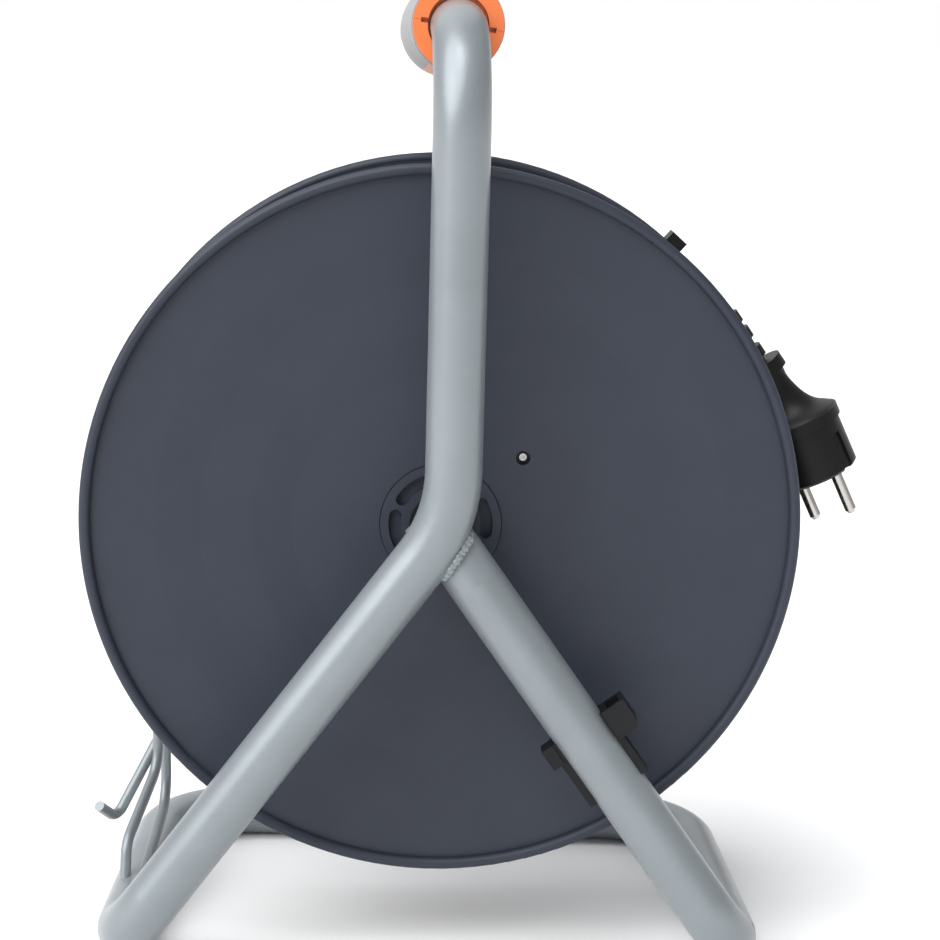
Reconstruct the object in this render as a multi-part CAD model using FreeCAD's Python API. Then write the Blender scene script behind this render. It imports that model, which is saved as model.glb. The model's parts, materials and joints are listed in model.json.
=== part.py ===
"""Extension cord reel: a 290 mm plastic cable drum that turns on an axle welded to a bent steel tube stand.

X points right, Y points from the legs towards the socket side, and Z points up. The origin is on the
floor under the middle of the stand. Lengths are in millimetres.
"""
import FreeCAD, Part
import math
import os

V = FreeCAD.Vector
UP = V(0, 0, 1)
FRONT = V(0, 1, 0)

# Stand: one bent tube
TUBE_R = 11.1
TUBE_WALL = 1.5
BASE_X = -1.5
NEAR_HALF_WIDTH = 124.5
FAR_HALF_WIDTH = 119.0
LEG_Y = -82.0
FAR_Y = 86.0
UPRIGHT_X = 4.0
PIVOT_BEND_Z = 187.3
HANDLE_Z = 376.3
HANDLE_END_Y = 72.0
HANDLE_LEAN = 6.0
HANDLE_DROP = 5.0
TOP_BEND_R = 40.0
PIVOT_BEND_R = 60.0
FOOT_BEND_R = 24.0
FAR_BEND_R = 40.0
LEG_END_BACK = 5.0
PINCH_LENGTH = 32.0
PINCH_BEYOND = 9.0
PINCH_HALF_THICK = 5.5
WELD_R = 2.5

# Grip
GRIP_START_Y = -43.0
GRIP_END_Y = 75.0
GRIP_R = 18.3
GRIP_SWELL = 1.8
GRIP_HOLE_R = 12.0
GRIP_SKIN = 2.3
GRIP_TILT = -7.0
GRIP_LIFT = 0.8

# Drum
AXLE_Z = 178.0
AXLE_R = 10.0
AXLE_END_Y = 28.0
RUNNING = 0.06
FLANGE_R = 145.0
REAR_Y = -48.0
FRONT_Y = 21.0
BEAD_R = 2.3
PLATE = 2.4
CORE_R = 70.0
CORE_WALL = 2.5
CORE_START_Y = REAR_Y + 3.4 + PLATE
CORE_END_Y = FRONT_Y - 3.4
GLAND_ANGLE = 290.0
GLAND_Y = -33.0
HUB_R = 24.4
HUB_BORE_R = 13.0
FLANGE_SCREW_R = 42.7
FLANGE_SCREW_ANGLE = 40.4

# Sockets and their panel
PANEL_R = 76.0
PANEL_FACE_Y = 35.0
PANEL_WALL = 2.5
SOCKET_RING_R = 43.0
SOCKET_ANGLES = (45, 135, 225, 315)
WELL_R = 19.75
WELL_DEPTH = 17.5
WELL_WALL = 2.2
LID_R = 23.8
LID_THICK = 2.8
LID_PIN_R = 1.2
HINGE_RING_R = 69.0
HINGE_Y = PANEL_FACE_Y + 3.5

# Thermal cut-out
CUTOUT_RING_R = 58.0
BUTTON_R = 5.5
BUTTON_GAP = 0.35

# Crank knob
KNOB_RING_R = 112.0
KNOB_ANGLE = -50.0
KNOB_R = 13.0
KNOB_PIN_R = 4.0
KNOB_START_Y = 27.0
KNOB_LENGTH = 36.0

# Cable and plug
CABLE_R = 4.0
WINDING_IN_R = 70.6
WINDING_OUT_R = 119.4
WINDING_START_Y = -41.6
WINDING_END_Y = 15.8
CABLE_Y = -13.0
PIN_R = 2.4
PIN_LENGTH = 19.0
PIN_SPACING = 19.0
PLUG_FACE = V(156.8, CABLE_Y, AXLE_Z + 17.4)
PLUG_DIRECTION_DEG = -64.5
PLUG_ROLL_DEG = -45.0
STRAIN_RELIEF = ((52.5, 6.4), (62.6, 8.2), (70.2, 9.5), (77.6, 10.9))

# Stand fittings
WIRE_R = 2.3
CLIP_DOWN = 109.0
CLIP_HALF_LENGTH = 15.0
CLIP_R = TUBE_R + 2.9


def polar(radius, degrees, y=0.0):
    """A point in the drum's own disc, measured from the axle."""
    a = math.radians(degrees)
    return V(radius * math.cos(a), y, AXLE_Z + radius * math.sin(a))


def rod(radius, start, end):
    """A straight round bar from start to end."""
    run = end - start
    return Part.makeCylinder(radius, run.Length, start, run)


def disc(radius, y0, y1, centre=None):
    """A round disc along Y, on the drum's axis unless a centre is given."""
    c = centre or V(0, 0, AXLE_Z)
    return Part.makeCylinder(radius, y1 - y0, V(c.x, y0, c.z), FRONT)


def ring(outer, inner, y0, y1, centre=None):
    return disc(outer, y0, y1, centre).cut(disc(inner, y0 - 1, y1 + 1, centre))


def turned(profile, x=0.0, z=AXLE_Z):
    """The (radius, y) outline turned about an axis along Y through x, z."""
    points = [V(x + r, y, z) for r, y in profile]
    face = Part.Face(Part.makePolygon(points + [points[0]]))
    return face.revolve(V(x, 0, z), FRONT, 360)


def block(size, centre, degrees=0.0):
    """A box about its centre, turned about Y so that its X side points along the polar angle."""
    b = Part.makeBox(size[0], size[1], size[2], V(-size[0] / 2, -size[1] / 2, -size[2] / 2))
    b.rotate(V(0, 0, 0), FRONT, -degrees)
    b.translate(centre)
    return b


def fused(shapes):
    shapes = list(shapes)
    return shapes[0].multiFuse(shapes[1:]).removeSplitter() if len(shapes) > 1 else shapes[0]


def bend_pieces(radius, points, bend_radii):
    """Solid bars and bends along a route of straight runs that are joined by tangent arcs."""
    pieces, start = [], points[0]
    for before, corner, after, bend in zip(points, points[1:], points[2:], bend_radii):
        u = (before - corner).normalize()
        w = (after - corner).normalize()
        half_turn = (math.pi - u.getAngle(w)) / 2
        reach = bend * math.tan(half_turn)
        arc_start, arc_end = corner + u * reach, corner + w * reach
        centre = corner + (u + w).normalize() * (bend / math.cos(half_turn))
        axis = (arc_start - centre).cross(arc_end - centre)
        pieces.append(rod(radius, start, arc_start))
        section = Part.Face(Part.Wire(Part.makeCircle(radius, arc_start, u)))
        pieces.append(section.revolve(centre, axis, math.degrees(2 * half_turn)))
        start = arc_end
    pieces.append(rod(radius, start, points[-1]))
    return pieces


def bent_bar(radius, points, bend_radii):
    return fused(bend_pieces(radius, points, bend_radii))


# ---------------------------------------------------------------- stand

def leg_end():
    """The middle of the right leg's end, which lies a little behind the bend that it is welded to."""
    return V(0, LEG_Y + LEG_END_BACK, AXLE_Z + 3)


def stand_route():
    """The tube's centre line: handle, upright, left leg, floor loop, and half of the right leg."""
    right_foot = V(BASE_X + NEAR_HALF_WIDTH, LEG_Y, TUBE_R)
    return [
        V(UPRIGHT_X - HANDLE_LEAN, HANDLE_END_Y, HANDLE_Z - HANDLE_DROP),
        V(UPRIGHT_X, LEG_Y, HANDLE_Z),
        V(UPRIGHT_X, LEG_Y, PIVOT_BEND_Z),
        V(BASE_X - NEAR_HALF_WIDTH, LEG_Y, TUBE_R),
        V(BASE_X - FAR_HALF_WIDTH, FAR_Y, TUBE_R),
        V(BASE_X + FAR_HALF_WIDTH, FAR_Y, TUBE_R),
        right_foot,
        right_foot + (leg_end() - right_foot) * 0.5,
    ]


STAND_BENDS = (TOP_BEND_R, PIVOT_BEND_R, FOOT_BEND_R, FAR_BEND_R, FAR_BEND_R, FOOT_BEND_R)


def handle_direction():
    route = stand_route()
    return (route[0] - route[1]).normalize()


def leg_axes():
    """Unit vectors down the right leg, and square to it in the legs' own plane."""
    down = (stand_route()[6] - leg_end()).normalize()
    return down, down.cross(FRONT).normalize()


def stand_solid(radius):
    return bent_bar(radius, stand_route(), STAND_BENDS)


def pinched_end():
    """The last stretch of the right leg, pressed from round to flat."""
    down, side = leg_axes()
    end = leg_end() - down * PINCH_BEYOND
    start = end + down * PINCH_LENGTH
    round_wire = Part.Wire(Part.makeCircle(TUBE_R, start, down))
    flat = Part.Ellipse(end + side * TUBE_R, end + FRONT * PINCH_HALF_THICK, end)
    return Part.makeLoft([round_wire, Part.Wire(flat.toShape())], True)


def frame_tube():
    """The tube, hollow, with the right leg's end pressed flat and cut to sit on the bend."""
    inner_r = TUBE_R - TUBE_WALL
    route = stand_route()
    upper = bent_bar(TUBE_R, route[:4], STAND_BENDS[:2])
    mouth = rod(inner_r, route[0] + handle_direction(), route[0] - handle_direction() * 2)
    main = stand_solid(TUBE_R).cut(stand_solid(inner_r)).cut(mouth)
    pinch_start = leg_end() + leg_axes()[0] * (PINCH_LENGTH - PINCH_BEYOND)
    leg = rod(TUBE_R, route[-1], pinch_start).cut(rod(inner_r, route[-1], pinch_start))
    stub = max(leg.fuse(pinched_end()).cut(upper).Solids, key=lambda s: s.Volume)
    hole = rod(1.7, V(124, -66, 13), V(140, -69, 24))
    return main.fuse(stub).removeSplitter().cut(hole)


def stand_crotch():
    """The bend and the leg end that meets it, as one solid for cutting what is welded to them."""
    return bent_bar(TUBE_R, stand_route()[:4], STAND_BENDS[:2]).fuse(pinched_end())


def weld_bead():
    """The weld along the seam between the right leg's end and the bend, which stands proud of both."""
    route = [V(11.2, -82.2, 182.6), V(9.5, -85.2, 179.0), V(6.6, -87.1, 174.3), V(3.5, -87.0, 169.4),
             V(0.9, -84.3, 164.7)]
    bead_bar = bent_bar(WELD_R, route, (7.0, 9.0, 7.0))
    return max(bead_bar.cut(stand_crotch()).Solids, key=lambda s: s.Volume)


def along_handle(shape):
    """Leans a piece that was drawn along Y so that it lies along the handle."""
    pivot = V(UPRIGHT_X, LEG_Y, HANDLE_Z)
    lean = FreeCAD.Rotation(FRONT, handle_direction())
    shape.Placement = FreeCAD.Placement(V(0, 0, 0), lean, pivot).multiply(shape.Placement)
    return shape


def grip_disc(radius, y0, y1, lift=0.0):
    return disc(radius, y0, y1, V(UPRIGHT_X, 0, HANDLE_Z + lift))


def grip_half(above):
    """One orange half shell, with an end ring each end and a slot on each split line."""
    axis_z = HANDLE_Z + GRIP_LIFT
    shell = grip_disc(GRIP_R - GRIP_SKIN, GRIP_START_Y, GRIP_END_Y, GRIP_LIFT)
    for y in (GRIP_START_Y, GRIP_END_Y - 3):
        shell = shell.fuse(grip_disc(GRIP_R - 0.5, y, y + 3, GRIP_LIFT))
    shell = shell.cut(grip_disc(GRIP_HOLE_R, GRIP_START_Y - 1, GRIP_START_Y + 4, GRIP_LIFT))
    side = 24.95 if above else -24.95
    cutter = block((60, 200, 50), V(UPRIGHT_X, 0, axis_z - side))
    slots = block((2 * GRIP_R - 7, 5, 1.9), V(UPRIGHT_X, GRIP_START_Y, axis_z))
    half = shell.cut(cutter).cut(slots)
    half.rotate(V(UPRIGHT_X, 0, axis_z), FRONT, -GRIP_TILT)
    half = half.cut(grip_disc(TUBE_R + 0.12, GRIP_START_Y - 1, HANDLE_END_Y + 2))
    return half.cut(grip_screws_straight(0.03))


def grip_skin_solid():
    """The swelling outer skin, before it is split into cover and palm pad."""
    y0, y1 = GRIP_START_Y + 3, GRIP_END_Y - 3
    steps = 12
    outline = [(GRIP_R - GRIP_SKIN, y1), (GRIP_R - GRIP_SKIN, y0)]
    for i in range(steps + 1):
        t = i / steps
        outline.append((GRIP_R + GRIP_SWELL * math.sin(math.pi * t), y0 + (y1 - y0) * t))
    return turned(outline, UPRIGHT_X, HANDLE_Z + GRIP_LIFT).cut(grip_screws_straight(0.03))


def palm_window():
    length = GRIP_END_Y - GRIP_START_Y
    middle = (GRIP_END_Y + GRIP_START_Y) / 2
    return block((22, length - 14, 20), V(UPRIGHT_X, middle, HANDLE_Z - 23))


def grip_screws_straight(gap=0.0):
    """Two countersunk screws that pull the halves together, one near each end."""
    screws = []
    for y in (GRIP_START_Y + 6.5, GRIP_END_Y - 6.5):
        low = HANDLE_Z + GRIP_LIFT - GRIP_R
        head = Part.makeCylinder(2.6 + gap, 1.5, V(UPRIGHT_X, y, low - 0.2), UP)
        shank = Part.makeCylinder(1.3 + gap, 3.5 + gap, V(UPRIGHT_X, y, low + 1.3), UP)
        screws.append(head.fuse(shank))
    return Part.makeCompound(screws)


def handle_end_cap():
    """A plug in the open end of the tube, under the grip's far end ring."""
    stem = grip_disc(TUBE_R - TUBE_WALL - 0.05, HANDLE_END_Y - 12, HANDLE_END_Y + 0.3)
    head = grip_disc(TUBE_R - 0.1, HANDLE_END_Y + 0.3, HANDLE_END_Y + 1.8)
    return stem.fuse(head)


# ---------------------------------------------------------------- axle

def axle():
    bar = disc(AXLE_R, LEG_Y + 4, AXLE_END_Y - 9).fuse(disc(5.0, AXLE_END_Y - 9, AXLE_END_Y + 2))
    return max(bar.cut(stand_crotch()).Solids, key=lambda s: s.Volume)


def axle_collar():
    """The black spacer that keeps the drum clear of the stand."""
    end = REAR_Y + 1.2
    collar = ring(11.8, AXLE_R + 0.02, LEG_Y + TUBE_R + 3.5, end)
    return collar.fuse(ring(12.6, AXLE_R + 0.02, end - 2.5, end))


def axle_washer():
    return ring(14.0, 5.1, AXLE_END_Y - 9, AXLE_END_Y - 7)


def axle_nut():
    """A hexagon lock nut on the axle's threaded end."""
    corners = [polar(7.5, 60 * k, AXLE_END_Y - 7) for k in range(7)]
    nut = Part.Face(Part.makePolygon(corners)).extrude(FRONT * 6)
    return nut.cut(disc(5.05, 0, 60))


# ---------------------------------------------------------------- drum

def screw_place():
    """Where the flange's one screw sits, in a boss beside the hub."""
    return polar(FLANGE_SCREW_R, FLANGE_SCREW_ANGLE)


def bead(y):
    return Part.makeTorus(FLANGE_R - BEAD_R, BEAD_R, V(0, y, AXLE_Z), FRONT)


def rear_flange():
    """A nearly flat plate with two shallow slopes down towards its hub, and a rolled rim."""
    back = [(HUB_R + 0.3, 3.4), (60, 3.4), (76, 2.4), (97, 2.4), (115, 1.2), (141.8, 1.2)]
    front = [(r, y + PLATE) for r, y in reversed(back)]
    plate = turned([(r, REAR_Y + y) for r, y in back + front])
    seat = ring(HUB_R + 3.0, HUB_BORE_R + 0.3, REAR_Y + 8.0, REAR_Y + 10.0)
    skirt = ring(HUB_R + 3.0, HUB_R + 0.3, REAR_Y + 3.4, REAR_Y + 8.5)
    screw_boss = disc(5.0, REAR_Y + 5, REAR_Y + 11, screw_place())
    flange = fused([plate, bead(REAR_Y), seat, skirt, screw_boss])
    counterbore = disc(2.95, REAR_Y - 5, REAR_Y + 7.0, screw_place())
    return flange.cut(counterbore).cut(disc(1.05, REAR_Y - 5, REAR_Y + 20, screw_place()))


def kidney(degrees):
    """A curved slot through the hub bush, 40 degrees long."""
    slot = ring(21.0, 16.0, REAR_Y - 5, REAR_Y + 5.6)
    rays = [V(0, REAR_Y - 5, AXLE_Z)] + [polar(40, degrees + a, REAR_Y - 5) for a in (-19, -9, 0, 9, 19)]
    wedge = Part.Face(Part.makePolygon(rays + [rays[0]])).extrude(FRONT * 12)
    caps = [disc(2.5, REAR_Y - 5, REAR_Y + 5.6, polar(18.5, degrees + a)) for a in (-19, 19)]
    return fused([slot.common(wedge)] + caps)


def rear_hub_bush():
    """The bush in the rear flange, with six kidney slots round the axle."""
    face = disc(HUB_R, REAR_Y + 2.6, REAR_Y + 7.6)
    sleeve = disc(HUB_BORE_R, REAR_Y + 7.6, REAR_Y + 22)
    lip = disc(13.6, REAR_Y + 1.6, REAR_Y + 2.6)
    body = fused([face, sleeve, lip]).cut(disc(AXLE_R + RUNNING, REAR_Y - 5, REAR_Y + 40))
    for k in range(6):
        body = body.cut(kidney(9 + 60 * k))
    return body


def flange_screw():
    centre = screw_place()
    head = disc(1.5, REAR_Y + 5.6, REAR_Y + 7.0, centre)
    shank = disc(1.0, REAR_Y + 7.0, REAR_Y + 16, centre)
    cross = fused([block((1.8, 1.2, 0.45), centre + FRONT * (REAR_Y + 5.6), a) for a in (20, 110)])
    return head.fuse(shank).cut(cross)


def drum_core():
    """The barrel that the cable is wound on, with four ribs to the hub tube."""
    barrel = ring(CORE_R, CORE_R - CORE_WALL, CORE_START_Y, CORE_END_Y)
    hub = ring(17.0, HUB_BORE_R + 0.3, REAR_Y + 10.0, 10.0)
    rib_middle = (CORE_R + 13) / 2
    ribs = [block((CORE_R - CORE_WALL - 14, 16, 2.0), polar(rib_middle, 90 * k, REAR_Y + 18), 90 * k)
            for k in range(4)]
    gland_hole = rod(6.5, polar(55, GLAND_ANGLE, GLAND_Y), polar(80, GLAND_ANGLE, GLAND_Y))
    return fused([barrel, hub] + ribs).cut(gland_hole)


def cable_gland():
    """The grommet through the barrel where the cable comes out of the drum."""
    neck = rod(6.4, polar(62, GLAND_ANGLE, GLAND_Y), polar(CORE_R + 0.2, GLAND_ANGLE, GLAND_Y))
    flange = rod(8.5, polar(60, GLAND_ANGLE, GLAND_Y), polar(CORE_R - CORE_WALL - 1.0, GLAND_ANGLE, GLAND_Y))
    bore = rod(CABLE_R + 0.1, polar(50, GLAND_ANGLE, GLAND_Y), polar(80, GLAND_ANGLE, GLAND_Y))
    return neck.fuse(flange).cut(bore)


def front_flange():
    """The socket side's plate, with a raised ring for the panel and a boss for the crank knob."""
    back = FRONT_Y - 3.4
    plate = turned([(66, back), (106, back), (109, back + 1.2), (141.8, back + 1.2),
                    (141.8, back + 1.2 + PLATE), (108, back + 1.2 + PLATE), (105, back + PLATE), (66, back + PLATE)])
    knob = polar(KNOB_RING_R, KNOB_ANGLE)
    boss = disc(11.0, back + 1.5, KNOB_START_Y - 0.6, knob)
    return fused([plate, bead(FRONT_Y), boss]).cut(disc(KNOB_PIN_R, 0, 60, knob))


def front_hub_bush():
    sleeve = disc(HUB_BORE_R, 4.0, 17.5)
    flange = disc(17.0, 10.0, 14.0)
    return sleeve.fuse(flange).cut(disc(AXLE_R + RUNNING, -20, 60))


def rim_clip():
    """A small block snapped over the front flange's rim, that holds the cable's end."""
    angle = 48.5
    body = block((12.0, 11.0, 7.8), polar(143.3, angle, FRONT_Y), angle)
    slot = block((14.0, PLATE + 0.2, 9.0), polar(136.3, angle, FRONT_Y - 1.0), angle)
    groove = Part.makeTorus(FLANGE_R - BEAD_R, BEAD_R + 0.05, V(0, FRONT_Y, AXLE_Z), FRONT)
    return max(body.cut(slot).cut(groove).Solids, key=lambda s: s.Volume)


# ---------------------------------------------------------------- socket side

def socket_centre(degrees, y=0.0):
    return polar(SOCKET_RING_R, degrees, y)


def lid_hinge(degrees):
    """The hinge's centre, and its axis, about which a positive turn opens the lid."""
    a = math.radians(degrees)
    return polar(HINGE_RING_R, degrees, HINGE_Y), V(math.sin(a), 0, -math.cos(a))


def hinge_lugs(degrees):
    centre, along = lid_hinge(degrees)
    lugs = []
    for side in (-1, 1):
        foot = centre + along * (side * 9.0)
        post = block((5.0, HINGE_Y + 2.2 - PANEL_FACE_Y + 1, 3.6),
                     V(foot.x, (PANEL_FACE_Y - 1 + HINGE_Y + 2.2) / 2, foot.z), degrees)
        lugs.append(post.cut(rod(LID_PIN_R, foot - along * 4, foot + along * 4)))
    return lugs


def socket_panel():
    """The round cover over the sockets, with a well and a pair of hinge lugs for each one."""
    back = FRONT_Y - 3.4 + PLATE
    shell = disc(PANEL_R, back, PANEL_FACE_Y).cut(disc(PANEL_R - PANEL_WALL, back - 1, PANEL_FACE_Y - 3))
    shell = shell.makeFillet(2.0, [e for e in shell.Edges if e.BoundBox.YMin > PANEL_FACE_Y - 0.1])
    well_floor = PANEL_FACE_Y - WELL_DEPTH
    tubes = [disc(WELL_R + WELL_WALL, well_floor, PANEL_FACE_Y - 1, socket_centre(a)) for a in SOCKET_ANGLES]
    lugs = [lug for a in SOCKET_ANGLES for lug in hinge_lugs(a)]
    body = fused([shell] + tubes + lugs)
    for a in SOCKET_ANGLES:
        body = body.cut(disc(WELL_R, well_floor - 1, PANEL_FACE_Y + 1, socket_centre(a)))
        for side in (-1, 1):
            place = polar(SOCKET_RING_R + side * (WELL_R + 0.5), a, PANEL_FACE_Y - 10.5)
            body = body.cut(block((2.1, 14.2, 4.4), place, a))
    body = body.cut(disc(BUTTON_R + BUTTON_GAP, 0, 60, polar(CUTOUT_RING_R, 90)))
    return body.cut(disc(15.5, 0, 60))


def socket_insert(degrees):
    """The contact carrier at the bottom of a well, with two contact holes."""
    centre = socket_centre(degrees)
    well_floor = PANEL_FACE_Y - WELL_DEPTH
    body = disc(WELL_R + WELL_WALL - 0.2, well_floor - 12, well_floor, centre)
    for side in (-1, 1):
        hole = centre + (polar(1, degrees + 90) - V(0, 0, AXLE_Z)) * (side * PIN_SPACING / 2)
        body = body.cut(disc(2.75, well_floor - 15, well_floor + 1, hole))
    return body


def earth_contacts():
    """Two strips let into each well's wall, on the line square to the contact holes."""
    strips = []
    for a in SOCKET_ANGLES:
        for side in (-1, 1):
            centre = polar(SOCKET_RING_R + side * (WELL_R + 0.65), a, PANEL_FACE_Y - 10.5)
            strips.append(block((1.0, 13.6, 4.0), centre, a))
    return Part.makeCompound(strips)


def socket_lid(degrees):
    """A sprung lid with a finger lip, and a knuckle that turns on its pin."""
    hinge, along = lid_hinge(degrees)
    y0 = PANEL_FACE_Y + 0.4
    plate = disc(LID_R, y0, y0 + LID_THICK, socket_centre(degrees))
    plate = plate.makeFillet(1.0, [e for e in plate.Edges if e.BoundBox.YMin > y0 + 1 and e.Closed
                                   and e.BoundBox.YLength < 0.1])
    tongue = block((12.0, LID_THICK, 12.0), polar(HINGE_RING_R - 6.0, degrees, y0 + LID_THICK / 2), degrees)
    knuckle = rod(2.6, hinge - along * 6.0, hinge + along * 6.0)
    lip = block((3.0, 2.4, 16.0), polar(SOCKET_RING_R - LID_R + 3.0, degrees, y0 + LID_THICK + 0.9), degrees)
    bore = rod(LID_PIN_R + 0.05, hinge - along * 9, hinge + along * 9)
    return fused([plate, tongue, knuckle, lip]).cut(bore)


def lid_pins():
    pins = []
    for a in SOCKET_ANGLES:
        hinge, along = lid_hinge(a)
        pins.append(rod(LID_PIN_R, hinge - along * 10.8, hinge + along * 10.8))
    return Part.makeCompound(pins)


def panel_screws():
    """Three pan-head screws that hold the panel to the flange, between the sockets."""
    screws = []
    for a in (0, 180, 270):
        centre = polar(68.5, a)
        screws.append(disc(3.4, PANEL_FACE_Y, PANEL_FACE_Y + 1.8, centre))
    return Part.makeCompound(screws)


def centre_cap():
    """The black cap over the axle nut."""
    cap = disc(15.2, PANEL_FACE_Y - 4, PANEL_FACE_Y + 2.5)
    cap = cap.makeFillet(1.5, [e for e in cap.Edges if e.BoundBox.YMin > PANEL_FACE_Y + 2.4])
    return cap.cut(disc(13.2, PANEL_FACE_Y - 5, PANEL_FACE_Y - 2))


def thermal_cutout():
    return block((12.0, 20.0, 18.0), polar(CUTOUT_RING_R, 90, 16.0), 90)


def reset_button():
    stem = disc(BUTTON_R, 28.4, PANEL_FACE_Y + 5.0, polar(CUTOUT_RING_R, 90))
    return stem.makeFillet(1.2, [e for e in stem.Edges if e.BoundBox.YMin > PANEL_FACE_Y + 4.9])


def terminal_block():
    body = block((12.0, 14.0, 30.0), polar(52, 270, -8), 270)
    for k in (-1, 0, 1):
        body = body.cut(rod(2.0, V(k * 10, -8, AXLE_Z - 80), V(k * 10, -8, AXLE_Z - 50)))
    return body


# ---------------------------------------------------------------- crank knob

def knob_pin():
    """The steel shoulder pin that the knob turns on."""
    centre = polar(KNOB_RING_R, KNOB_ANGLE)
    end = KNOB_START_Y + KNOB_LENGTH
    pin = disc(KNOB_PIN_R, FRONT_Y - 3.0, end - 3.6, centre)
    return pin.fuse(disc(6.5, end - 3.6, end - 1.6, centre))


def crank_knob():
    """A waisted knob with a recess that hides the pin's head."""
    c = polar(KNOB_RING_R, KNOB_ANGLE)
    y0, y1 = KNOB_START_Y, KNOB_START_Y + KNOB_LENGTH
    outline = [(KNOB_PIN_R + RUNNING, y0), (KNOB_R - 1, y0), (KNOB_R, y0 + 1.5), (KNOB_R, y0 + 4),
               (KNOB_R - 2.6, y0 + 10), (KNOB_R - 3.2, y0 + 16), (KNOB_R - 2.4, y0 + 22),
               (KNOB_R + 0.2, y0 + 29), (KNOB_R + 0.4, y0 + 33), (KNOB_R - 1, y1 - 0.6), (KNOB_R - 2, y1),
               (7.2, y1), (7.2, y1 - 3.9), (KNOB_PIN_R + RUNNING, y1 - 3.9)]
    return turned(outline, c.x, c.z)


# ---------------------------------------------------------------- stand fittings

def leg_clip():
    """A plastic clip snapped on the right leg: a C-shaped saddle with a looped ear on each jaw."""
    down, side = leg_axes()
    centre = leg_end() + down * CLIP_DOWN
    low, high = -CLIP_HALF_LENGTH, CLIP_HALF_LENGTH
    saddle = rod(CLIP_R, V(0, 0, low), V(0, 0, high))
    mouth = Part.makeBox(60, 30, 60, V(-30, -34.0, -30))
    big_ear = Part.makeBox(10.0, 13.0, 13.0, V(11.6, -6.5, high - 12.5))
    big_ear = big_ear.cut(Part.makeBox(5.6, 9.0, 20, V(14.2, -4.5, high - 9.5)))
    big_ear = big_ear.makeChamfer(2.2, [e for e in big_ear.Edges if e.BoundBox.ZMax < high - 12.4
                                        and e.BoundBox.XMin > 21.5])
    small_ear = Part.makeBox(5.0, 10.0, 9.0, V(-17.0, -5.0, high - 9.0))
    hook = Part.makeBox(7.0, 9.0, 4.0, V(-3.5, 12.0, -2.0)).fuse(Part.makeBox(7.0, 3.0, 12.0, V(-3.5, 18.0, -2.0)))
    bore = rod(TUBE_R + 0.12, V(0, 0, low - 5), V(0, 0, high + 5))
    clip = fused([saddle.cut(mouth), big_ear, small_ear, hook]).cut(bore)
    clip.Placement = FreeCAD.Placement(centre, FreeCAD.Rotation(side, FRONT, down * -1, "ZXY"))
    return clip


def guide_eye_route():
    """The hairpin of wire that stands on the left floor run and guides the cable off the drum."""
    return [V(-128.6, -34.5, 14.0), V(-128.4, -28, 35), V(-119.7, 14, 55.3), V(-119.6, 14, 80.0),
            V(-118.4, 32, 80.0), V(-117.7, 32, 34.6), V(-121.6, -34.5, 19.0)]


def cable_guide():
    route = guide_eye_route()
    wire = bent_bar(WIRE_R, route, (12, 14, 8.5, 8.5, 16))
    loop = bent_bar(TUBE_R, stand_route()[2:6], (FOOT_BEND_R, FAR_BEND_R))
    return max(wire.cut(loop).Solids, key=lambda s: s.Volume)


def guide_hook():
    """The short hook that is welded behind the hairpin, and holds the plug's cable."""
    route = [V(-117.4, 18.9, 71.0), V(-136.4, 3.0, 34.8), V(-142.4, -7.5, 43.6)]
    return max(bent_bar(WIRE_R, route, (5.0,)).cut(cable_guide()).Solids, key=lambda s: s.Volume)


# ---------------------------------------------------------------- cable and plug

def plug_axes():
    """Unit vectors: the way the pins point, the way out from the drum, and the pins' own line."""
    a = math.radians(PLUG_DIRECTION_DEG)
    ahead = V(math.cos(a), 0, math.sin(a))
    out = V(-math.sin(a), 0, math.cos(a))
    r = math.radians(PLUG_ROLL_DEG)
    return ahead, out, out * math.cos(r) + FRONT * math.sin(r)


def plug_station(back, inward=0.0):
    """A point on the plug's centre line, a distance back from its face and in towards the drum."""
    ahead, out, _ = plug_axes()
    return PLUG_FACE - ahead * back - out * inward


def cone(r0, r1, start, end):
    run = end - start
    return Part.makeCone(r0, r1, run.Length, start, run)


def plug_body():
    """A moulded plug: a round nose, a finger flange, and a waisted neck up to a square-edged collar."""
    ahead, _, line = plug_axes()
    nose = rod(17.8, plug_station(1), plug_station(22)).fuse(cone(16.8, 17.8, plug_station(0), plug_station(1)))
    flange = rod(19.0, plug_station(21.6), plug_station(26.0))
    stations = [(26.0, 18.3, 0), (28.8, 14.3, 0.3), (31.7, 11.2, 0.7), (36.8, 9.0, 1.7), (41.3, 8.4, 2.9),
                (48.5, 8.4, 3.7)]
    rings = [Part.Wire(Part.makeCircle(r, plug_station(b, i), ahead)) for b, r, i in stations]
    neck = Part.makeLoft(rings, True)
    collar = rod(10.4, plug_station(47.5, 3.9), plug_station(52.8, 4.9))
    across = line.cross(ahead).normalize()
    grooves = []
    for sign in (-1, 1):
        start = plug_station(-1) + across * (17.4 * sign)
        grooves.append(rod(3.2, start, start - ahead * 17))
        guide = plug_station(-1) + line * (17.2 * sign)
        grooves.append(rod(2.7, guide, guide - ahead * 17))
    return fused([nose, flange, neck, collar]).cut(fused(grooves))


def plug_pins():
    ahead, _, line = plug_axes()
    pins = []
    for sign in (-1, 1):
        start = plug_station(0) + line * (sign * PIN_SPACING / 2)
        tip = start + ahead * PIN_LENGTH
        pins.append(fused([rod(PIN_R, start, tip - ahead * 1.5), cone(PIN_R, 1.5, tip - ahead * 1.5, tip)]))
    return Part.makeCompound(pins)


def plug_earth_contacts():
    """The two metal strips in the side grooves of the plug's nose."""
    ahead, _, line = plug_axes()
    across = line.cross(ahead).normalize()
    strips = []
    for sign in (-1, 1):
        start = plug_station(0.5) + across * (13.6 * sign)
        strips.append(rod(1.2, start + across * sign * 1.8, start + across * sign * 1.8 - ahead * 12))
    return Part.makeCompound(strips)


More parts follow.
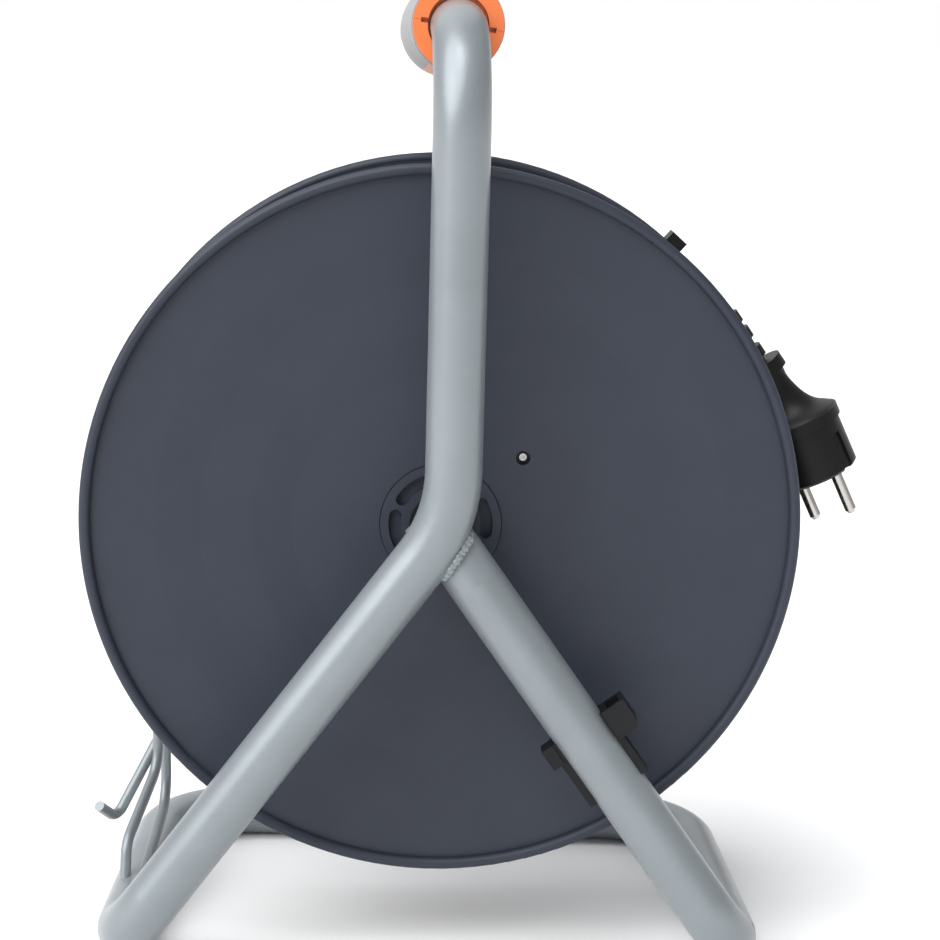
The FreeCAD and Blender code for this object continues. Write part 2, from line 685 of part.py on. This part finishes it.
def plug_strain_relief():
    """The ribbed sleeve behind the plug's collar, bent with the cable."""
    stations = [plug_station(b, i) for b, i in STRAIN_RELIEF]
    sleeve = [cone(5.6 - 0.3 * k, 5.3 - 0.3 * k, stations[k], stations[k + 1]) for k in range(3)]
    joints = [Part.makeSphere(5.3 - 0.3 * k, stations[k + 1]) for k in range(2)]
    ribs = []
    for k in range(3):
        run = (stations[k + 1] - stations[k]).normalize()
        middle = (stations[k] + stations[k + 1]) * 0.5
        ribs.append(rod(7.4 - 0.2 * k, middle - run * 2.4, middle + run * 2.4))
    return fused(sleeve + joints + ribs).cut(plug_body())


def tail_route():
    """The last stretch of cable, from the top of the winding to the plug's sleeve."""
    return [polar(WINDING_OUT_R + CABLE_R + 0.1, 122, CABLE_Y), polar(126.2, 104, CABLE_Y),
            polar(127.2, 86, CABLE_Y), polar(130.5, 68, CABLE_Y), polar(137.0, 51.5, CABLE_Y),
            plug_station(*STRAIN_RELIEF[-1])]


def cable_tail():
    route = tail_route()
    radii = []
    for before, corner, after in zip(route, route[1:], route[2:]):
        turn = math.pi - (before - corner).getAngle(after - corner)
        shorter = min((before - corner).Length, (after - corner).Length)
        radii.append(0.45 * shorter / math.tan(turn / 2))
    tail = bent_bar(CABLE_R, route, radii).cut(plug_strain_relief()).cut(cable_winding())
    return max(tail.Solids, key=lambda s: s.Volume)


def cable_winding():
    """The wound cable's outer shape."""
    return ring(WINDING_OUT_R, WINDING_IN_R, WINDING_START_Y, WINDING_END_Y)


NODES = {
    "frame_tube": frame_tube,
    "weld_bead": weld_bead,
    "grip_upper_half": lambda: along_handle(grip_half(True)),
    "grip_lower_half": lambda: along_handle(grip_half(False)),
    "grip_cover": lambda: along_handle(grip_skin_solid().cut(palm_window())),
    "grip_palm_pad": lambda: along_handle(grip_skin_solid().common(palm_window())),
    "grip_screws": lambda: along_handle(grip_screws_straight()),
    "handle_end_cap": lambda: along_handle(handle_end_cap()),
    "axle": axle,
    "axle_collar": axle_collar,
    "axle_washer": axle_washer,
    "axle_nut": axle_nut,
    "leg_clip": leg_clip,
    "cable_guide": cable_guide,
    "guide_hook": guide_hook,
    "rear_flange": rear_flange,
    "rear_hub_bush": rear_hub_bush,
    "flange_screw": flange_screw,
    "drum_core": drum_core,
    "cable_gland": cable_gland,
    "front_flange": front_flange,
    "front_hub_bush": front_hub_bush,
    "rim_clip": rim_clip,
    "socket_panel": socket_panel,
    "earth_contacts": earth_contacts,
    "lid_pins": lid_pins,
    "panel_screws": panel_screws,
    "centre_cap": centre_cap,
    "thermal_cutout": thermal_cutout,
    "reset_button": reset_button,
    "terminal_block": terminal_block,
    "knob_pin": knob_pin,
    "crank_knob": crank_knob,
    "plug_body": plug_body,
    "plug_pins": plug_pins,
    "plug_earth_contacts": plug_earth_contacts,
    "plug_strain_relief": plug_strain_relief,
    "cable_tail": cable_tail,
    "cable_winding": cable_winding,
}
for number, angle in enumerate(SOCKET_ANGLES, 1):
    NODES[f"socket_insert_{number}"] = lambda angle=angle: socket_insert(angle)
    NODES[f"socket_lid_{number}"] = lambda angle=angle: socket_lid(angle)


def main():
    os.makedirs("parts", exist_ok=True)
    for name, make in NODES.items():
        shape = make()
        if not shape.isValid():
            raise ValueError(f"{name} is not a valid solid")
        shape.exportStep(f"parts/{name}.step")


main()
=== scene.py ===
import json
import math

import bmesh
import bpy
from mathutils import Matrix, Vector, noise


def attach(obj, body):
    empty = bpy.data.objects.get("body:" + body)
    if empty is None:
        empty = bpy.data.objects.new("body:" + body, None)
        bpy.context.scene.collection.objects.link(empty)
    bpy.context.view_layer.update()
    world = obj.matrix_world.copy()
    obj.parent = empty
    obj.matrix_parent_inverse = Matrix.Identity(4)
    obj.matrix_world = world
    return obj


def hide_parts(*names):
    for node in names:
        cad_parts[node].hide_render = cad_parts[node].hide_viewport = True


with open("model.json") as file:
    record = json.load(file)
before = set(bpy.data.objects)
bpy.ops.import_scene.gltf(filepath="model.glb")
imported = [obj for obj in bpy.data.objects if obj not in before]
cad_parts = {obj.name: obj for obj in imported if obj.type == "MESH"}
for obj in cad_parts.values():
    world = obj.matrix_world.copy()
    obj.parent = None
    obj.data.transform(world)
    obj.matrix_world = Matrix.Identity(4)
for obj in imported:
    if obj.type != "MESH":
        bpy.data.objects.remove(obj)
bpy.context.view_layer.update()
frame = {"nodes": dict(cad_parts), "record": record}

MM = 0.001
AXLE_Z = 178.0
FRONT = Vector((0, 1, 0))


def mm(*values):
    return Vector(values) * MM


def polar(radius, degrees, y=0.0):
    """A point in the drum's disc, given in millimetres from the axle."""
    a = math.radians(degrees)
    return mm(radius * math.cos(a), y, AXLE_Z + radius * math.sin(a))


# ---------------------------------------------------------------- camera and light

CAMERA_PLACE = mm(-15.9, -978.9, 380.9)
CAMERA_YAW = 0.0291
CAMERA_PITCH = 0.1908
CAMERA_ROLL = 0.026
CAMERA_LENS = 90.8


def add_camera():
    data = bpy.data.cameras.new("camera")
    data.lens = CAMERA_LENS
    data.sensor_width = 36
    camera = bpy.data.objects.new("camera", data)
    bpy.context.scene.collection.objects.link(camera)
    forward = Vector((math.sin(CAMERA_YAW) * math.cos(CAMERA_PITCH),
                      math.cos(CAMERA_YAW) * math.cos(CAMERA_PITCH), -math.sin(CAMERA_PITCH)))
    level = Vector((math.cos(CAMERA_YAW), -math.sin(CAMERA_YAW), 0))
    right = Matrix.Rotation(-CAMERA_ROLL, 3, forward) @ level
    up = right.cross(forward)
    axes = Matrix((right, up, -forward)).transposed()
    camera.matrix_world = Matrix.Translation(CAMERA_PLACE) @ axes.to_4x4()
    bpy.context.scene.camera = camera


def add_sun(name, toward, strength, softness, colour=(1, 1, 1)):
    """A sun whose light comes from the direction given."""
    data = bpy.data.lights.new(name, "SUN")
    data.energy = strength
    data.angle = math.radians(softness)
    data.color = colour
    light = bpy.data.objects.new(name, data)
    light.rotation_euler = Vector(toward).to_track_quat("Z", "Y").to_euler()
    bpy.context.scene.collection.objects.link(light)


def add_softbox(name, place, target, size, power, colour=(1, 1, 1)):
    data = bpy.data.lights.new(name, "AREA")
    data.shape = "RECTANGLE"
    data.size, data.size_y = size
    data.energy = power
    data.color = colour
    light = bpy.data.objects.new(name, data)
    light.location = place
    light.rotation_euler = (Vector(target) - Vector(place)).to_track_quat("-Z", "Y").to_euler()
    bpy.context.scene.collection.objects.link(light)


def add_studio():
    middle = (0, 0, 0.2)
    add_sun("key", (-0.60, -0.45, 0.80), 3.9, 70)
    add_sun("back", (-0.10, 0.75, 0.60), 0.6, 60)
    add_softbox("left_box", (-1.0, -0.9, 0.8), middle, (0.5, 1.2), 3)
    add_softbox("top_box", (0.0, -0.5, 1.6), (0, -0.05, 0.35), (0.8, 0.5), 4)
    world = bpy.data.worlds.new("world")
    bpy.context.scene.world = world
    world.use_nodes = True
    tree = world.node_tree
    back = tree.nodes["Background"]
    back.inputs["Strength"].default_value = 1.0
    split = tree.nodes.new("ShaderNodeSeparateXYZ")
    tree.links.new(tree.nodes.new("ShaderNodeTexCoord").outputs["Generated"], split.inputs["Vector"])
    ramp = tree.nodes.new("ShaderNodeValToRGB")
    shift = tree.nodes.new("ShaderNodeMapRange")
    shift.inputs["From Min"].default_value = -1
    tree.links.new(split.outputs["Z"], shift.inputs["Value"])
    tree.links.new(shift.outputs["Result"], ramp.inputs["Fac"])
    stops = ramp.color_ramp.elements
    stops[0].position, stops[0].color = 0.0, (0.30, 0.30, 0.30, 1)
    stops[1].position, stops[1].color = 1.0, (0.55, 0.56, 0.58, 1)
    for position, level in ((0.46, 0.35), (0.49, 1.0), (0.53, 1.0), (0.60, 0.30)):
        stops.new(position).color = (level, level, level, 1)
    tree.links.new(ramp.outputs["Color"], back.inputs["Color"])


def add_floor():
    bpy.ops.mesh.primitive_plane_add(size=60, location=(0, 0, 0))
    floor = bpy.context.object
    floor.name = "floor"
    material = bpy.data.materials.new("floor")
    material.use_nodes = True
    shader = material.node_tree.nodes["Principled BSDF"]
    shader.inputs["Base Color"].default_value = (0.92, 0.92, 0.92, 1)
    shader.inputs["Roughness"].default_value = 0.9
    floor.data.materials.append(material)


bpy.context.scene.view_settings.view_transform = "Standard"
add_camera()
add_studio()
add_floor()


# ---------------------------------------------------------------- materials

def new_material(name):
    material = bpy.data.materials.new(name)
    material.use_nodes = True
    tree = material.node_tree
    return material, tree, tree.nodes["Principled BSDF"]


def add_node(tree, kind, **settings):
    node = tree.nodes.new(kind)
    for key, value in settings.items():
        if key in node.inputs:
            node.inputs[key].default_value = value
        else:
            setattr(node, key, value)
    return node


def moulded(name, colour, roughness, grain_scale, grain_depth, colour_change=0.12, metallic=0.0,
            coat=0.0, roughness_change=0.08, wear=0.0, specular=0.5):
    """A surface with mottled colour, uneven gloss and a fine bump, all from noise in the object's own space."""
    material, tree, shader = new_material(name)
    link = tree.links.new
    place = add_node(tree, "ShaderNodeTexCoord").outputs["Object"]

    mottle = add_node(tree, "ShaderNodeTexNoise", Scale=38.0, Detail=6.0, Roughness=0.6)
    link(place, mottle.inputs["Vector"])
    tint = add_node(tree, "ShaderNodeValToRGB")
    tint.color_ramp.elements[0].position = 0.32
    tint.color_ramp.elements[1].position = 0.7
    tint.color_ramp.elements[0].color = (*[c * (1 - colour_change) for c in colour], 1)
    tint.color_ramp.elements[1].color = (*[min(1, c * (1 + colour_change)) for c in colour], 1)
    link(mottle.outputs["Fac"], tint.inputs["Fac"])
    colour_out = tint.outputs["Color"]

    if wear:
        geometry = add_node(tree, "ShaderNodeNewGeometry")
        edge = add_node(tree, "ShaderNodeMapRange", **{"From Min": 0.52, "From Max": 0.62, "To Max": wear})
        link(geometry.outputs["Pointiness"], edge.inputs["Value"])
        worn = add_node(tree, "ShaderNodeMix", data_type="RGBA")
        link(edge.outputs["Result"], worn.inputs["Factor"])
        link(colour_out, worn.inputs[6])
        worn.inputs[7].default_value = (*[min(1, c * 1.8 + 0.05) for c in colour], 1)
        colour_out = worn.outputs[2]
    link(colour_out, shader.inputs["Base Color"])

    smear = add_node(tree, "ShaderNodeTexNoise", Scale=95.0, Detail=4.0)
    link(place, smear.inputs["Vector"])
    gloss = add_node(tree, "ShaderNodeMapRange", **{"To Min": roughness - roughness_change,
                                                    "To Max": roughness + roughness_change})
    link(smear.outputs["Fac"], gloss.inputs["Value"])
    link(gloss.outputs["Result"], shader.inputs["Roughness"])

    grain = add_node(tree, "ShaderNodeTexNoise", Scale=grain_scale, Detail=2.0)
    link(place, grain.inputs["Vector"])
    bump = add_node(tree, "ShaderNodeBump", Distance=grain_depth)
    bump.inputs["Strength"].default_value = 0.5
    link(grain.outputs["Fac"], bump.inputs["Height"])
    link(bump.outputs["Normal"], shader.inputs["Normal"])

    shader.inputs["Metallic"].default_value = metallic
    shader.inputs["Specular IOR Level"].default_value = specular
    shader.inputs["Coat Weight"].default_value = coat
    shader.inputs["Coat Roughness"].default_value = 0.2
    return material


MATERIALS = {
    "stand_paint": moulded("stand_paint", (0.215, 0.240, 0.256), 0.36, 700, 0.00009, 0.05, metallic=0.30, coat=0.15,
                           roughness_change=0.05),
    "zinc_steel": moulded("zinc_steel", (0.40, 0.40, 0.39), 0.34, 1500, 0.00002, 0.08, metallic=1.0),
    "flange_plastic": moulded("flange_plastic", (0.021, 0.026, 0.040), 0.50, 2600, 0.00010, 0.06, specular=0.38),
    "panel_plastic": moulded("panel_plastic", (0.011, 0.0115, 0.013), 0.50, 2400, 0.00010, 0.10, specular=0.35),
    "black_plastic": moulded("black_plastic", (0.005, 0.0055, 0.0065), 0.46, 1800, 0.00006, 0.15, specular=0.25),
    "socket_plastic": moulded("socket_plastic", (0.020, 0.021, 0.024), 0.42, 1800, 0.00004, 0.10),
    "lid_plastic": moulded("lid_plastic", (0.022, 0.025, 0.031), 0.46, 2400, 0.00008, 0.08, wear=0.25),
    "grip_orange": moulded("grip_orange", (0.72, 0.17, 0.045), 0.42, 1500, 0.00005, 0.05),
    "grip_rubber": moulded("grip_rubber", (0.285, 0.285, 0.29), 0.66, 1300, 0.00016, 0.06),
    "palm_rubber": moulded("palm_rubber", (0.66, 0.30, 0.21), 0.62, 1400, 0.00012, 0.05),
    "nickel": moulded("nickel", (0.52, 0.50, 0.47), 0.22, 1200, 0.00001, 0.05, metallic=1.0),
    "spring_bronze": moulded("spring_bronze", (0.45, 0.31, 0.15), 0.30, 900, 0.00002, 0.08, metallic=1.0),
    "cable_rubber": moulded("cable_rubber", (0.006, 0.006, 0.007), 0.55, 1600, 0.00012, 0.20, specular=0.25),
    "plug_rubber": moulded("plug_rubber", (0.0045, 0.0045, 0.005), 0.42, 1900, 0.00008, 0.15, specular=0.22),
    "button_red": moulded("button_red", (0.30, 0.010, 0.008), 0.30, 900, 0.00002, 0.05, coat=0.3),
    "terminal_white": moulded("terminal_white", (0.60, 0.59, 0.54), 0.45, 900, 0.00003, 0.05),
}


def paint_frame():
    slots = {s["node"]: s["material_slot"] for s in frame["record"]["subparts"]}
    for name, node in frame["nodes"].items():
        node.data.materials.clear()
        node.data.materials.append(MATERIALS[slots[name]])


paint_frame()


# ---------------------------------------------------------------- plug directions

CABLE_Y = -13.0
PLUG_FACE = mm(156.8, CABLE_Y, 195.4)
PLUG_ANGLE = math.radians(-64.5)
PLUG_ROLL = math.radians(-45)
AHEAD = Vector((math.cos(PLUG_ANGLE), 0, math.sin(PLUG_ANGLE)))
OUT = Vector((-math.sin(PLUG_ANGLE), 0, math.cos(PLUG_ANGLE)))
PIN_LINE = OUT * math.cos(PLUG_ROLL) + FRONT * math.sin(PLUG_ROLL)
ACROSS = PIN_LINE.cross(AHEAD).normalized()


def plug_station(back, inward=0.0):
    """A point on the plug's centre line, back from its face and in towards the drum, in millimetres."""
    return PLUG_FACE - AHEAD * back * MM - OUT * inward * MM


# ---------------------------------------------------------------- cable

CABLE_D = 0.008
TURNS = 7
LAYERS = 6
PITCH = 8.15
FIRST_RING_R = 75.2
LAYER_STEP = 8.05
WINDING_MIDDLE_Y = -12.9
POINTS_PER_TURN = 20
GLAND_ANGLE = 290.0
GLAND_Y = -33.0
START_ANGLE = 272.0
CLIMB_POINTS = 8


def winding_points():
    """Turns side by side and layer on layer, running clockwise as seen from the legs' side."""
    points = []
    steps = TURNS * POINTS_PER_TURN
    for layer in range(LAYERS):
        for step in range(steps):
            turns = layer * TURNS + step / POINTS_PER_TURN
            across = (step / (steps - 1) - 0.5) * PITCH * (TURNS - 1)
            y = WINDING_MIDDLE_Y + (across if layer % 2 == 0 else -across)
            wobble = 0.3 * noise.noise(Vector((turns * 1.7, layer * 3.1, 0.5)))
            points.append(polar(FIRST_RING_R + LAYER_STEP * layer + wobble, START_ANGLE - 360 * turns, y))
    return points


def climb_points():
    """The last turn's end, climbing over its neighbours to the top of the winding."""
    first_y = WINDING_MIDDLE_Y - PITCH * (TURNS - 1) / 2
    points = []
    for step in range(CLIMB_POINTS):
        t = step / CLIMB_POINTS
        rise = min(1, 2.2 * t)
        radius = FIRST_RING_R + LAYER_STEP * (LAYERS - 1) + LAYER_STEP * rise
        points.append(polar(radius + 0.4 * rise, START_ANGLE - 146 * t, first_y + (CABLE_Y - first_y) * t ** 1.5))
    return points


def tail_points():
    """The route from the top of the winding to the plug's sleeve."""
    return [polar(123.5, 122, CABLE_Y), polar(126.2, 104, CABLE_Y), polar(127.2, 86, CABLE_Y),
            polar(130.5, 68, CABLE_Y), polar(137.0, 51.5, CABLE_Y), plug_station(77.6, 10.9)]


def add_cable():
    points = [polar(70, GLAND_ANGLE, GLAND_Y), polar(73.5, GLAND_ANGLE - 7, GLAND_Y - 1.5)]
    points += winding_points() + climb_points() + tail_points()
    curve = bpy.data.curves.new("cable", "CURVE")
    curve.dimensions = "3D"
    spline = curve.splines.new("NURBS")
    spline.points.add(len(points) - 1)
    for place, point in zip(spline.points, points):
        place.co = (*point, 1)
    spline.order_u = 3
    spline.use_endpoint_u = True
    spline.resolution_u = 3
    curve.bevel_depth = CABLE_D / 2
    curve.bevel_resolution = 4
    curve.materials.append(MATERIALS["cable_rubber"])
    cable = bpy.data.objects.new("cable", curve)
    bpy.context.scene.collection.objects.link(cable)
    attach(cable, "drum")
    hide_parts("cable_winding", "cable_tail")


add_cable()


# ---------------------------------------------------------------- weld

WELD_ROUTE = [mm(11.2, -82.2, 182.6), mm(9.5, -85.2, 179.0), mm(6.6, -87.1, 174.3), mm(3.5, -87.0, 169.4),
              mm(0.9, -84.3, 164.7)]
WELD_LUMPS = 11


def add_weld():
    """A hand-laid bead: overlapping uneven lumps along the seam between the leg's end and the bend."""
    shape = bmesh.new()
    for lump in range(WELD_LUMPS):
        along = 0.2 + lump / (WELD_LUMPS - 1) * (len(WELD_ROUTE) - 1.4)
        first = int(along)
        place = WELD_ROUTE[first].lerp(WELD_ROUTE[first + 1], along - first)
        radius = (2.0 + 0.4 * noise.noise(Vector((lump * 1.9, 0.4, 2.2)))) * MM
        made = bmesh.ops.create_icosphere(shape, subdivisions=4, radius=radius)
        for vertex in made["verts"]:
            vertex.co *= 1 + 0.10 * noise.noise(vertex.co * 900 + Vector((lump, 0, 0)))
            vertex.co += place
    mesh = bpy.data.meshes.new("weld")
    shape.to_mesh(mesh)
    shape.free()
    for face in mesh.polygons:
        face.use_smooth = True
    mesh.materials.append(MATERIALS["stand_paint"])
    weld = bpy.data.objects.new("weld", mesh)
    bpy.context.scene.collection.objects.link(weld)
    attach(weld, "stand")
    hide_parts("weld_bead")


add_weld()
